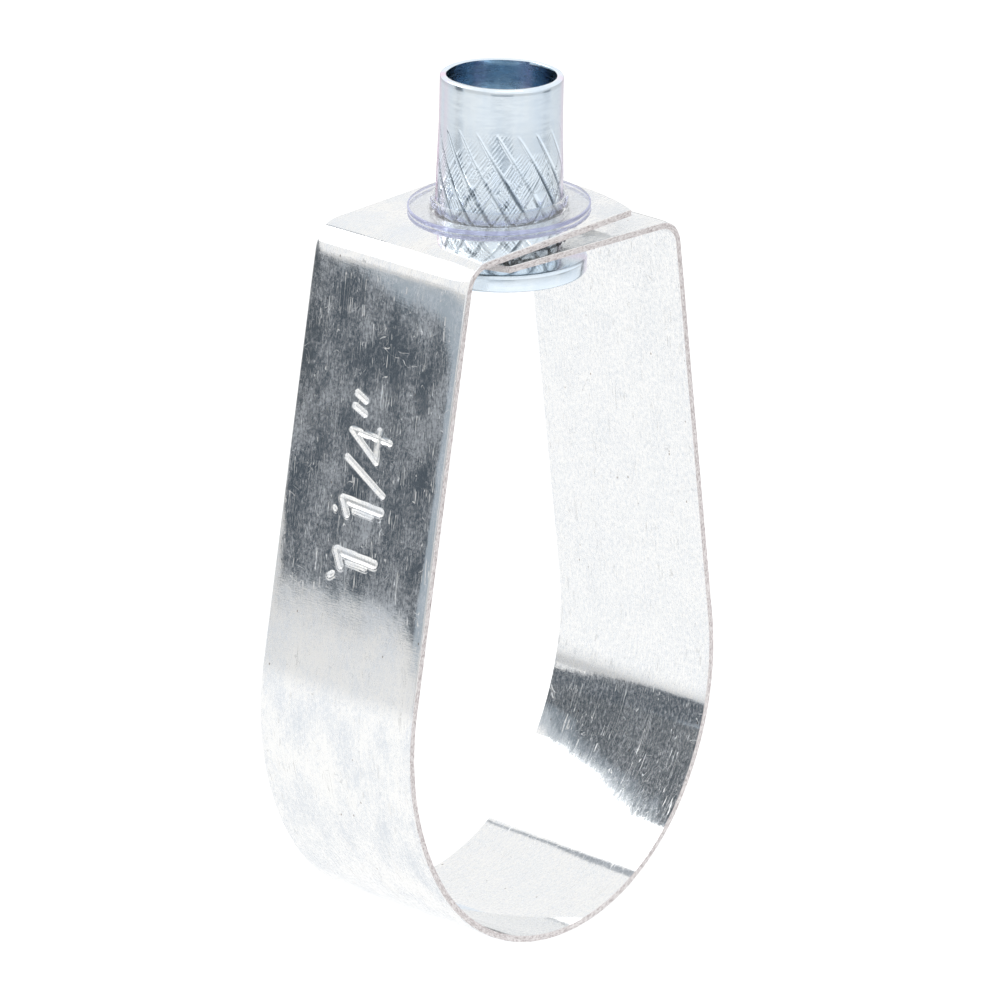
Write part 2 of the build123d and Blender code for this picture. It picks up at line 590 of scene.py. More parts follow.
class MeshMaker:
    """Collects millimetre points, faces and point attributes, and makes one Blender object."""

    def __init__(self) -> None:
        """Starts empty."""
        self.points: list[np.ndarray] = []
        self.faces: Faces = []
        self.slots: list[int] = []
        self.notes: dict[str, list[np.ndarray]] = {}
        self.count = 0

    def add_points(self, points: np.ndarray, **notes: np.ndarray) -> np.ndarray:
        """Adds points.

        Args:
            points: One row of x, y, z for each point.
            notes: Attribute values, one row for each point.

        Returns:
            The new points' numbers.
        """
        first = self.count
        self.points.append(points)
        for name, values in notes.items():
            self.notes.setdefault(name, []).append(values)
        self.count += len(points)
        return np.arange(first, self.count)

    def add_faces(self, faces: Faces, slot: int = 0) -> None:
        """Adds faces of one material slot."""
        self.faces.extend(faces)
        self.slots.extend([slot] * len(faces))

    def join_rings(self, lower: np.ndarray, upper: np.ndarray, slot: int = 0) -> None:
        """Joins two closed rings, one of which may have a whole number of times more points.

        Args:
            lower: Point numbers of one ring.
            upper: Point numbers of the other ring.
            slot: The faces' material slot.
        """
        if len(lower) == len(upper):
            after = np.roll(np.arange(len(lower)), -1)
            quads = zip(lower.tolist(), lower[after].tolist(), upper[after].tolist(), upper.tolist())
            self.add_faces(list(quads), slot)
            return
        fine, coarse = (lower, upper) if len(lower) > len(upper) else (upper, lower)
        times = len(fine) // len(coarse)
        for number in range(len(coarse)):
            run = [int(fine[(number * times + step) % len(fine)]) for step in range(times + 1)]
            ends = [int(coarse[(number + 1) % len(coarse)]), int(coarse[number])]
            self.add_faces([tuple(run + ends)], slot)

    def finish(
        self, name: str, materials: list[bpy.types.Material], sharp_angle: float
    ) -> bpy.types.Object:
        """Makes the object.

        Args:
            name: The piece's name.
            materials: One material for each slot.
            sharp_angle: Degrees above which an edge is drawn sharp.

        Returns:
            The object, linked to the scene.
        """
        mesh = bpy.data.meshes.new(name)
        mesh.from_pydata((np.concatenate(self.points) * MM).tolist(), [], self.faces)
        for material in materials:
            mesh.materials.append(material)
        mesh.polygons.foreach_set("material_index", self.slots)
        for note, parts in self.notes.items():
            values = np.concatenate(parts)
            kind, key = ("FLOAT_VECTOR", "vector") if values.ndim == 2 else ("FLOAT", "value")
            attribute = mesh.attributes.new(note, kind, "POINT")
            attribute.data.foreach_set(key, values.astype(np.float32).ravel())
        mesh.validate()
        mesh.shade_smooth()
        mesh.set_sharp_from_angle(angle=math.radians(sharp_angle))
        piece = bpy.data.objects.new(name, mesh)
        bpy.context.scene.collection.objects.link(piece)
        self.turn_outwards(mesh)
        return piece

    @staticmethod
    def turn_outwards(mesh: bpy.types.Mesh) -> None:
        """Makes all faces look outwards.

        Args:
            mesh: The closed mesh.
        """
        work = bmesh.new()
        work.from_mesh(mesh)
        bmesh.ops.recalc_face_normals(work, faces=work.faces)
        work.to_mesh(mesh)
        work.free()


class FlatSheet:
    """Points and faces of the strip laid flat, in which each place has one point.

    Places are told apart to a ten thousandth of a millimetre.
    """

    PER_MM = 1e4

    def __init__(self) -> None:
        """Starts empty."""
        self.numbers: dict[tuple[int, int], int] = {}
        self.points: list[Point2] = []
        self.faces: Faces = []

    def point(self, along: float, across: float) -> int:
        """Gives the point at a place, made when it is new.

        Args:
            along: Place along the strip.
            across: Place across it.

        Returns:
            The point's number.
        """
        key = (round(along * self.PER_MM), round(across * self.PER_MM))
        if key not in self.numbers:
            self.numbers[key] = len(self.points)
            self.points.append((along, across))
        return self.numbers[key]

    def side(self, a: Point2, b: Point2, count: int) -> list[int]:
        """Divides a side.

        Args:
            a: Where it starts.
            b: Where it ends.
            count: How many lengths it has.

        Returns:
            Point numbers from a up to but not including b.
        """
        along, across = b[0] - a[0], b[1] - a[1]
        return [self.point(a[0] + along * k / count, a[1] + across * k / count) for k in range(count)]

    def cell(self, corners: list[Point2], counts: list[int]) -> None:
        """Adds one face.

        Args:
            corners: Its corners in order.
            counts: How many lengths each side has, from each corner to the next.
        """
        loop: list[int] = []
        for number, count in enumerate(counts):
            loop += self.side(corners[number], corners[(number + 1) % len(corners)], count)
        self.faces.append(tuple(loop))

    def grid(self, rows: np.ndarray, columns: np.ndarray) -> None:
        """Adds a grid of four-sided faces.

        Args:
            rows: Places of its lines along the strip.
            columns: Places of its lines across the strip.
        """
        for s0, s1 in zip(rows, rows[1:]):
            for t0, t1 in zip(columns, columns[1:]):
                corners = ((s0, t0), (s1, t0), (s1, t1), (s0, t1))
                self.faces.append(tuple(self.point(*corner) for corner in corners))


@dataclass
class Stroke:
    """One straight stroke of a punched figure, in millimetres up and across the leg."""

    start: Point2
    end: Point2
    half_width: float = 0.27
    depth: float = 0.16
    burr: float = 0.012
    burr_width: float = 0.12
    burr_place: float = 1.2

    def sink(self, up: np.ndarray, across: np.ndarray) -> np.ndarray:
        """How deep the stroke lies at each place, and how proud its burr stands.

        Args:
            up: Distance up the leg of each point.
            across: Distance across the leg of each point.

        Returns:
            Height change in millimetres, negative in the stroke.
        """
        run = np.array(self.end) - np.array(self.start)
        share = held(((up - self.start[0]) * run[0] + (across - self.start[1]) * run[1]) / (run @ run))
        away = np.hypot(up - self.start[0] - share * run[0], across - self.start[1] - share * run[1])
        groove = np.clip(1 - (away / self.half_width) ** 4, 0.0, None)
        lip = np.exp(-(((away - self.half_width * self.burr_place) / self.burr_width) ** 2))
        return -self.depth * groove + self.burr * lip


@dataclass
class SizeMark:
    """Plain size numerals, punched by hand into the left leg and read upwards."""

    top: float = 2.5
    foot: float = -3.1
    reach: Point2 = (9.0, 35.0)
    window_up: Point2 = (10.6, 33.0)
    window_across: Point2 = (-4.6, 4.8)
    stamped_depth: float = 0.05
    strokes: list[Stroke] = field(default_factory=list)

    def __post_init__(self) -> None:
        """Sets out the strokes: figure one, figure one, slash, figure four and two ticks."""
        top, foot = self.top, self.foot
        for base in (14.7, 20.3):
            self.strokes += [
                Stroke((base - 0.2, top), (base - 0.5, foot + 0.1), 0.42, 0.14),
                Stroke((base - 0.3, top), (base - 1.8, top - 0.8), 0.3, 0.14),
                Stroke((base - 1.2, top - 1.6), (base - 1.3, foot + 1.2), 0.16, 0.07),
            ]
        self.strokes += [
            Stroke((24.6, 2.7), (21.6, foot + 0.1)),
            Stroke((27.6, top), (27.3, foot)),
            Stroke((27.6, top), (24.9, -1.5)),
            Stroke((24.9, -1.5), (28.3, -1.4)),
            Stroke((31.6, 2.4), (31.0, 1.0), 0.3, 0.16),
            Stroke((30.2, 2.5), (29.6, 0.9), 0.3, 0.16),
            Stroke((11.6, 3.1), (11.9, 2.7), 0.25, 0.1),
            Stroke((18.9, 3.6), (18.7, 3.4), 0.2, 0.08),
        ]

    def relief(self, up: np.ndarray, across: np.ndarray) -> np.ndarray:
        """Height of the punched figures.

        Args:
            up: Distance up the leg of each point.
            across: Distance across the leg of each point.

        Returns:
            Height change in millimetres.
        """
        parts = np.array([stroke.sink(up, across) for stroke in self.strokes])
        height = parts.min(0) + parts.max(0).clip(0.0)
        return np.where((up > self.reach[0]) & (up < self.reach[1]), height, 0.0)

    def mask(self, up: np.ndarray, across: np.ndarray) -> np.ndarray:
        """1 in the strokes, 0 outside them."""
        return held(-self.relief(up, across) / self.stamped_depth)

    def window(self, up: np.ndarray, across: np.ndarray) -> np.ndarray:
        """Tells which cells of a grid lie under the figures.

        Args:
            up: Distance up the leg of each row of cells.
            across: Distance across the leg of each column of cells.

        Returns:
            True or false for each row and column.
        """
        (low, high), (left, right) = self.window_up, self.window_across
        return np.outer((up > low) & (up < high), (across > left) & (across < right))


@dataclass(frozen=True)
class Run:
    """A stretch of the strip's inner line: straight, or an arc that turns left."""

    start: np.ndarray
    heading: float
    length: float
    radius: float = 0.0

    def at(self, distance: np.ndarray) -> tuple[np.ndarray, np.ndarray]:
        """Places and headings along the run.

        Args:
            distance: Distances from the run's start.

        Returns:
            Points in the XZ plane, one row each, and headings in radians.
        """
        if self.radius == 0.0:
            way = np.array([math.cos(self.heading), math.sin(self.heading)])
            return self.start + distance[:, None] * way, np.full(len(distance), self.heading)
        turned = self.heading + distance / self.radius
        sine, cosine = math.sin(self.heading), math.cos(self.heading)
        offset = np.stack([np.sin(turned) - sine, cosine - np.cos(turned)], 1)
        return self.start + offset * self.radius, turned

    def end(self) -> tuple[np.ndarray, float]:
        """Where the run ends, and its heading there."""
        places, headings = self.at(np.array([self.length]))
        return places[0], float(headings[0])


@dataclass
class Rim:
    """One free edge of a face of the strip: flat points, ways out of the sheet, numbers and heights."""

    flat: np.ndarray
    outwards: np.ndarray
    numbers: np.ndarray
    height: np.ndarray


@dataclass
class Band:
    """The pear-shaped ring of folded strip, in millimetres.

    A wall step is how far in from the edge and how far down from the outer face it lies. A
    roll is how far an edge falls off, and over what width. The hollow over the left bend begins
    the onset's first distance before the bend's end, and is gone the fade's first distance past
    it. The second number of each is the run it takes.
    """

    seat_radius: float
    width: float
    thickness: float = 0.8
    seat_half_angle: float = 56.0
    inside_half_width: float = 23.2
    shoulder_half_width: float = 15.66
    bend_radius: float = 2.4
    lower_leaf_height: float = 54.16
    leaf_gap: float = 1.2
    rise_angle: float = 3.27
    lower_tip_room: float = 3.46
    upper_tip_room: float = 4.81
    leaf_end_radius: float = 30.0
    hole_radius: float = 7.15
    edge_round: float = 0.2
    burr_inset: float = 0.03
    wall_steps: tuple[Point2, ...] = (
        (0.09, 0.02), (0.025, 0.08), (0.0, 0.2), (0.0, 0.36), (0.02, 0.5), (0.02, 0.64), (0.0, 0.77),
    )
    rolled_depth: float = 0.2
    torn_depth: float = 0.3
    torn_reach: float = 0.02
    torn_per_mm: float = 1.7
    torn_shift: float = 7.3
    hole_patch: float = 9.6
    hole_rings: tuple[float, ...] = (0.0, 0.05, 0.13, 0.25, 0.4, 0.58, 0.78, 1.0)
    leaf_edge_steps: int = 30
    columns: int = 36
    bend_step: float = 0.15
    mark_cells: int = 5
    near_roll: Point2 = (0.07, 2.4)
    far_roll: Point2 = (0.012, 0.8)
    bend_hollow: float = 0.07
    bend_fade: Point2 = (4.0, 5.2)
    bend_onset: Point2 = (3.4, 2.2)
    wave_depth: float = 0.02
    slow_wave: float = 0.014
    slow_cell: Point2 = (9.0, 7.0)
    quick_wave: float = 0.003
    quick_cell: Point2 = (2.6, 1.9)
    sharp_angle: float = 42.0
    mark: SizeMark = field(default_factory=SizeMark)

    def __post_init__(self) -> None:
        """Works out the strip's path from the sizes."""
        self.rise = math.radians(self.rise_angle)
        seat_end = math.radians(self.seat_half_angle)
        sine = math.sin(seat_end)
        self.side_radius = (self.inside_half_width - self.seat_radius * sine) / (1 - sine)
        self.side_x = self.inside_half_width - self.side_radius
        self.side_z = (self.side_radius - self.seat_radius) * math.cos(seat_end)
        across, up = self.shoulder_half_width - self.side_x, self.lower_leaf_height - self.side_z
        self.lean = math.atan2(up, across) - math.acos(self.side_radius / math.hypot(across, up))
        self.upper_leaf_height = self.lower_leaf_height + self.thickness + self.leaf_gap
        self.upper_reach = self.shoulder_half_width - self.upper_tip_room
        self.lower_reach = self.shoulder_half_width - self.lower_tip_room
        self.runs = self.lay_out()
        self.starts = np.cumsum([0.0] + [run.length for run in self.runs])
        self.length = float(self.starts[-1])

    def lay_out(self) -> list[Run]:
        """Sets out the inner line, from the upper leaf's tip round the ring to the lower leaf's.

        Returns:
            The nine runs in order.
        """
        foot = np.array([self.side_x + self.side_radius * math.cos(self.lean),
                         self.side_z + self.side_radius * math.sin(self.lean)])
        tan_lean, tan_rise = math.tan(self.lean), math.tan(self.rise)
        right_x = foot[0] - (self.lower_leaf_height - foot[1]) * tan_lean
        right_corner = np.array([right_x, self.lower_leaf_height])
        left_x = ((self.upper_leaf_height - foot[1]) * tan_lean - foot[0]) / (1 - tan_rise * tan_lean)
        left_corner = np.array([left_x, self.upper_leaf_height + left_x * tan_rise])
        leaf_way = np.array([math.cos(self.rise), math.sin(self.rise)])
        tip = np.array([0.0, self.upper_leaf_height]) + self.upper_reach * leaf_way
        left_turn = math.pi / 2 - self.lean - self.rise
        right_turn = math.pi / 2 - self.lean
        left_cut = self.bend_radius * math.tan(left_turn / 2)
        right_cut = self.bend_radius * math.tan(right_turn / 2)
        side_turn = math.pi / 2 + self.lean - math.radians(self.seat_half_angle)
        left_foot = foot * np.array([-1.0, 1.0])
        plan = [
            (np.linalg.norm(tip - left_corner) - left_cut, 0.0),
            (left_turn * self.bend_radius, self.bend_radius),
            (np.linalg.norm(left_corner - left_foot) - left_cut, 0.0),
            (side_turn * self.side_radius, self.side_radius),
            (math.radians(2 * self.seat_half_angle) * self.seat_radius, self.seat_radius),
            (side_turn * self.side_radius, self.side_radius),
            (np.linalg.norm(right_corner - foot) - right_cut, 0.0),
            (right_turn * self.bend_radius, self.bend_radius),
            (right_corner[0] + self.lower_reach - right_cut, 0.0),
        ]
        runs, place, heading = [], tip, math.pi + self.rise
        for length, radius in plan:
            runs.append(Run(place, heading, float(length), radius))
            place, heading = runs[-1].end()
        return runs

    def fold(self, along: np.ndarray, across: np.ndarray, height: np.ndarray) -> np.ndarray:
        """Folds flat strip coordinates into the ring.

        Args:
            along: Distance along the inner line.
            across: Distance across the strip, which is the y coordinate.
            height: Height above the inner face.

        Returns:
            One row of x, y, z for each point.
        """
        number = np.clip(np.searchsorted(self.starts, along, side="right") - 1, 0, len(self.runs) - 1)
        points = np.zeros((len(along), 3))
        for index, run in enumerate(self.runs):
            chosen = number == index
            places, headings = run.at(along[chosen] - self.starts[index])
            lift = height[chosen]
            points[chosen, 0] = places[:, 0] + lift * np.sin(headings)
            points[chosen, 2] = places[:, 1] - lift * np.cos(headings)
        points[:, 1] = across
        return points

    def leg_height(self, along: np.ndarray) -> np.ndarray:
        """Distance up the left leg from its foot, at a distance along the strip."""
        return self.starts[3] - along

    def rows(self) -> np.ndarray:
        """Sets out the lines across the plain part of the strip.

        Returns:
            Their distances along the strip.
        """
        cell = self.width / self.columns
        first, last = self.upper_reach + self.hole_patch, self.length - self.lower_reach - self.hole_patch
        lines = [np.array([first])]
        for index, run in enumerate(self.runs):
            low, high = max(first, self.starts[index]), min(last, self.starts[index + 1])
            step = self.bend_step if run.radius == self.bend_radius else cell
            count = max(1, round((high - low) / step))
            lines.append(np.linspace(low, high, count + 1)[1:])
        return np.concatenate(lines)

    def flat_pattern(self, fine: bool) -> tuple[np.ndarray, Faces]:
        """Mesh of the strip laid flat, with its round ends and its two holes.

        Args:
            fine: Whether the size mark's window has a finer grid.

        Returns:
            Points along and across, one row each, and faces.
        """
        sheet, lines, half = FlatSheet(), self.rows(), self.width / 2
        columns = np.linspace(-half, half, self.columns + 1)
        row_middles, column_middles = (lines[:-1] + lines[1:]) / 2, (columns[:-1] + columns[1:]) / 2
        window = self.mark.window(self.leg_height(row_middles), column_middles)
        beside = np.pad(window & fine, 1)
        cells = self.mark_cells
        for i, (s0, s1) in enumerate(zip(lines, lines[1:])):
            for j, (t0, t1) in enumerate(zip(columns, columns[1:])):
                if beside[i + 1, j + 1]:
                    sheet.grid(np.linspace(s0, s1, cells + 1), np.linspace(t0, t1, cells + 1))
                    continue
                around = ((i + 1, j), (i + 2, j + 1), (i + 1, j + 2), (i, j + 1))
                counts = [cells if beside[place] else 1 for place in around]
                sheet.cell([(s0, t0), (s1, t0), (s1, t1), (s0, t1)], counts)
        self.add_leaf(sheet, lines[0], columns, 1)
        self.add_leaf(sheet, lines[-1], columns, -1)
        return np.array(sheet.points), sheet.faces

    def add_leaf(self, sheet: FlatSheet, join: float, columns: np.ndarray, side: int) -> None:
        """Adds a leaf's patch, in rings from its hole to its outline.

        Args:
            sheet: The flat pattern.
            join: Where the patch meets the plain grid.
            columns: Places across the strip of the grid's lines.
            side: 1 for the upper leaf, where the strip starts, and -1 for the lower leaf.
        """
        reach = self.upper_reach if side == 1 else self.lower_reach
        centre = reach if side == 1 else self.length - reach
        rim = self.leaf_outline(join, centre - side * reach, columns, side)
        rings = []
        for share in self.hole_rings:
            ring = []
            for along, across in rim:
                angle = math.atan2(across, along - centre)
                hole = (centre + self.hole_radius * math.cos(angle), self.hole_radius * math.sin(angle))
                place = (hole[0] + (along - hole[0]) * share, hole[1] + (across - hole[1]) * share)
                ring.append(sheet.point(*place))
            rings.append(ring)
        for inner, outer in zip(rings, rings[1:]):
            for k in range(len(rim)):
                after = (k + 1) % len(rim)
                sheet.faces.append((inner[k], inner[after], outer[after], outer[k])[::-side])

    def leaf_outline(self, join: float, tip: float, columns: np.ndarray, side: int) -> list[Point2]:
        """Outline of a leaf's patch: the line where it joins the strip, two edges and the round end.

        Args:
            join: Where the patch meets the plain grid.
            tip: The leaf's tip.
            columns: Places across the strip of the grid's lines.
            side: 1 where the strip starts at the tip, -1 where it ends there.

        Returns:
            Points along and across, in order round the hole.
        """
        half, steps = self.width / 2, self.leaf_edge_steps
        sag = self.leaf_end_radius - np.sqrt(self.leaf_end_radius**2 - columns**2)
        ends = tip + side * sag
        corner = float(ends[-1])
        joined = [(join, float(across)) for across in columns]
        upper = [(join + (corner - join) * k / steps, half) for k in range(1, steps)]
        ended = [(float(end), float(across)) for end, across in zip(ends[::-1], columns[::-1])]
        lower = [(corner + (join - corner) * k / steps, -half) for k in range(1, steps)]
        return joined + upper + ended + lower

    def sheet_waves(self, along: np.ndarray, across: np.ndarray) -> np.ndarray:
        """Slight unevenness of the rolled sheet, never outwards.

        Args:
            along: Distance along the strip of each point.
            across: Distance across it.

        Returns:
            Height change in millimetres, 0 or less.
        """
        (slow_run, slow_wide), (quick_run, quick_wide) = self.slow_cell, self.quick_cell
        slow = value_noise(along / slow_run, across / slow_wide + 5.0, Seed.SHEET_SLOW)
        quick = value_noise(along / quick_run, across / quick_wide + 9.0, Seed.SHEET_QUICK)
        return -self.wave_depth - self.slow_wave * slow - self.quick_wave * quick

    def outside_height(self, along: np.ndarray, across: np.ndarray) -> np.ndarray:
        """Height of the outer face, which falls off at both edges and over the left bend.

        Args:
            along: Distance along the strip of each point.
            across: Distance across it.

        Returns:
            Height above the inner line.
        """
        near, far = self.width / 2 + across, self.width / 2 - across
        past_bend = along - self.starts[2]
        fallen = self.near_roll[0] * held(1 - near / self.near_roll[1]) ** 2
        fallen = fallen + self.far_roll[0] * held(1 - far / self.far_roll[1]) ** 2
        fading = held((self.bend_fade[0] - past_bend) / self.bend_fade[1]) ** 2
        starting = held((past_bend + self.bend_onset[0]) / self.bend_onset[1])
        fallen = fallen + self.bend_hollow * np.minimum(fading, starting)
        mark = self.mark.relief(self.leg_height(along), across)
        return self.thickness + self.sheet_waves(along, across) - fallen + mark

    def build(self, materials: list[bpy.types.Material]) -> bpy.types.Object:
        """Builds the folded strip as one closed mesh.

        Args:
            materials: Sheet and sheared edge.

        Returns:
            The piece.
        """
        maker = MeshMaker()
        outer, inner = self.add_face(maker, Face.OUTSIDE), self.add_face(maker, Face.INSIDE)
        for top, bottom in zip(outer, inner):
            self.close_edge(maker, top, bottom)
        return maker.finish("band_strip", materials, self.sharp_angle)

    def add_face(self, maker: MeshMaker, face: Face) -> list[Rim]:
        """Adds one face of the strip, folded.

        Args:
            maker: The mesh.
            face: Outside or inside.

        Returns:
            The face's free edges: the strip's outline and the two holes.
        """
        outside = face is Face.OUTSIDE
        flat, faces = self.flat_pattern(outside)
        loops = self.free_loops(faces)
        outwards = [self.loop_normals(flat[loop]) for loop in loops]
        pulled = flat.copy()
        for loop, normals in zip(loops, outwards):
            pulled[loop] -= normals * (self.edge_round if outside else self.burr_inset)
        along, across = pulled.T
        height = self.outside_height(along, across) if outside else self.sheet_waves(along, across)
        stamp = self.mark.mask(self.leg_height(along), across) * outside
        strip = np.stack([along, across, np.full(len(along), face.value)], 1)
        numbers = maker.add_points(self.fold(along, across, height), strip=strip, stamp=stamp)
        maker.add_faces([tuple(int(numbers[k]) for k in corners) for corners in faces])
        pairs = zip(loops, outwards)
        return [Rim(flat[loop], normals, numbers[loop], height[loop]) for loop, normals in pairs]

    @staticmethod
    def free_loops(faces: Faces) -> list[np.ndarray]:
        """Finds the edges that only one face uses.

        Args:
            faces: Point numbers of each face.

        Returns:
            The edges as closed loops of point numbers, in a fixed order.
        """
        used = {(a, b) for face in faces for a, b in zip(face, face[1:] + face[:1])}
        ways = {a: b for a, b in used if (b, a) not in used}
        loops = []
        while ways:
            first = min(ways)
            loop, here = [first], ways.pop(first)
            while here != first:
                loop.append(here)
                here = ways.pop(here)
            loops.append(np.array(loop))
        return loops

    @staticmethod
    def loop_normals(flat: np.ndarray) -> np.ndarray:
        """Finds the ways out of the sheet at a loop's points.

        Args:
            flat: The loop's points in the flat pattern.

        Returns:
            A unit direction for each point.
        """
        run = np.roll(flat, -1, 0) - np.roll(flat, 1, 0)
        normals = np.stack([run[:, 1], -run[:, 0]], 1)
        return normals / np.linalg.norm(normals, axis=1, keepdims=True)

    def close_edge(self, maker: MeshMaker, top: Rim, bottom: Rim) -> None:
        """Builds the sheared wall between the faces: rolled over outside, torn below.

        Args:
            maker: The mesh.
            top: The outer face's free edge.
            bottom: The inner face's.
        """
        rings, slots = [top.numbers], []
        for number, (inset, down) in enumerate(self.wall_steps):
            run, wide = top.flat.T * self.torn_per_mm
            tear = value_noise(run + number * self.torn_shift, wide, Seed.TORN_EDGE)
            torn = self.torn_reach * (1 + tear) * (down > self.torn_depth)
            place = top.flat - top.outwards * (inset + torn)[:, None]
            height = top.height - down * (top.height - bottom.height) / self.thickness
            strip = np.stack([place[:, 0], place[:, 1], height + Face.CUT.value], 1)
            folded = self.fold(place[:, 0], place[:, 1], height)
            rings.append(maker.add_points(folded, strip=strip, stamp=np.zeros(len(height))))
            slots.append(int(down >= self.rolled_depth))
        rings.append(bottom.numbers)
        slots.append(1)
        for upper, lower, slot in zip(rings, rings[1:], slots):
            maker.join_rings(upper, lower, slot)


@dataclass(frozen=True)
class CoarseGrooves:
    """One hand of the coarse knurl: deep grooves that start below the collar and widen downwards.

    The hand is 1 or -1, and the shift is a share of the space between two grooves. A groove
    starts between the onset's two levels from the collar's foot, and this hand's are all lower
    by the number called later. The uneven level is a middle and a swing.
    """

    hand: int
    shift: float
    depth: float
    later: float
    count: int = 19
    slant: float = 32.0
    phase: float = 219.9
    onset: Point2 = (0.45, -0.7)
    onset_wander: float = 0.5
    onset_cell: float = 0.77
    onset_place: Point2 = (3.0, 4.0)
    growth: float = 7.0
    half_width: float = 0.13
    widening: float = 0.2
    first_share: float = 0.55
    grown_share: float = 0.45
    uneven_cell: Point2 = (2.2, 1.3)
    uneven_level: Point2 = (0.7, 0.4)

    def sunk(self, angle: np.ndarray, height: np.ndarray, radius: float, start: float) -> np.ndarray:
        """Depth of the grooves.

        Args:
            angle: Radians round the axis.
            height: Height in the frame.
            radius: Radius over the knurl's crests.
            start: Height of the collar's foot.

        Returns:
            Depth in millimetres, 0 or more.
        """
        slant = math.radians(self.slant)
        climb = math.tan(slant) / radius
        spacing = FULL_TURN * radius / self.count * math.cos(slant)
        turn = angle - math.radians(self.phase) + self.hand * (height - start) * climb
        count = turn * self.count / FULL_TURN + self.shift
        nearest = np.round(count)
        away = np.abs(count - nearest) * spacing
        place = nearest * self.onset_cell + self.onset_place[0]
        own = value_noise(place, self.onset_place[1] + self.hand, Seed.GROOVE_START)
        first, last = (start + level - self.later + self.onset_wander * own for level in self.onset)
        grown = ramp(height, start - self.later, start - self.later - self.growth)
        uneven = value_noise(height / self.uneven_cell[0], nearest * self.uneven_cell[1], Seed.GROOVE_DEPTH)
        uneven = self.uneven_level[0] + self.uneven_level[1] * uneven
        share = self.first_share + self.grown_share * grown
        wide = self.half_width + self.widening * grown
        return self.depth * ramp(height, first, last) * share * uneven * held(1 - away / wide)


@dataclass(frozen=True)
class FineHatch:
    """One hand of the fine hatch between the grooves: broken dashes that grow stronger downwards.

    A cell is how many the random field has in a radian, and how many millimetres one is high.
    A level is a middle and a swing, and a range is what the sum is held to.
    """

    hand: int
    depth: float
    later: float
    seed: int
    step: float = 0.36
    slant: float = 35.0
    wander: float = 0.14
    wander_cell: Point2 = (4.0, 2.5)
    patch_cell: Point2 = (6.0, 1.3)
    patch_level: Point2 = (0.45, 0.95)
    patch_range: Point2 = (0.0, 1.05)
    dash_cell: Point2 = (15.0, 0.6)
    dash_level: Point2 = (0.7, 0.7)
    dash_range: Point2 = (0.1, 1.2)
    faint: float = 0.07
    faint_run: float = 0.8
    full: float = 0.93
    full_below: float = 7.2
    growth_power: float = 1.6

    def sunk(self, angle: np.ndarray, height: np.ndarray, radius: float, start: float) -> np.ndarray:
        """Depth of the hatch.

        Args:
            angle: Radians round the axis.
            height: Height in the frame.
            radius: Radius over the knurl's crests.
            start: Height of the collar's foot.

        Returns:
            Depth in millimetres, 0 or more.
        """
        slant, first = math.radians(self.slant), start - self.later
        lay = angle * radius * math.cos(slant) + self.hand * height * math.sin(slant)
        lay = lay + self.wander * self.uneven(angle, height, self.wander_cell, 3)
        wave = 0.5 - 0.5 * np.cos(FULL_TURN * lay / self.step)
        patch = self.patch_level[1] * self.uneven(angle, height, self.patch_cell, 0)
        patch = np.clip(self.patch_level[0] + patch, *self.patch_range)
        dashes = self.dash_level[1] * self.uneven(angle, height, self.dash_cell, 6)
        dashes = np.clip(self.dash_level[0] + dashes, *self.dash_range)
        full = ramp(height, first, start - self.full_below) ** self.growth_power
        begun = self.faint * ramp(height, first, first - self.faint_run) + self.full * full
        return self.depth * (begun * dashes) * patch * wave**2

    def uneven(self, angle: np.ndarray, height: np.ndarray, cell: Point2, past: int) -> np.ndarray:
        """Random field over the barrel, whose seed is so many past the hatch's own."""
        return value_noise(angle * cell[0], height / cell[1], self.seed + past)


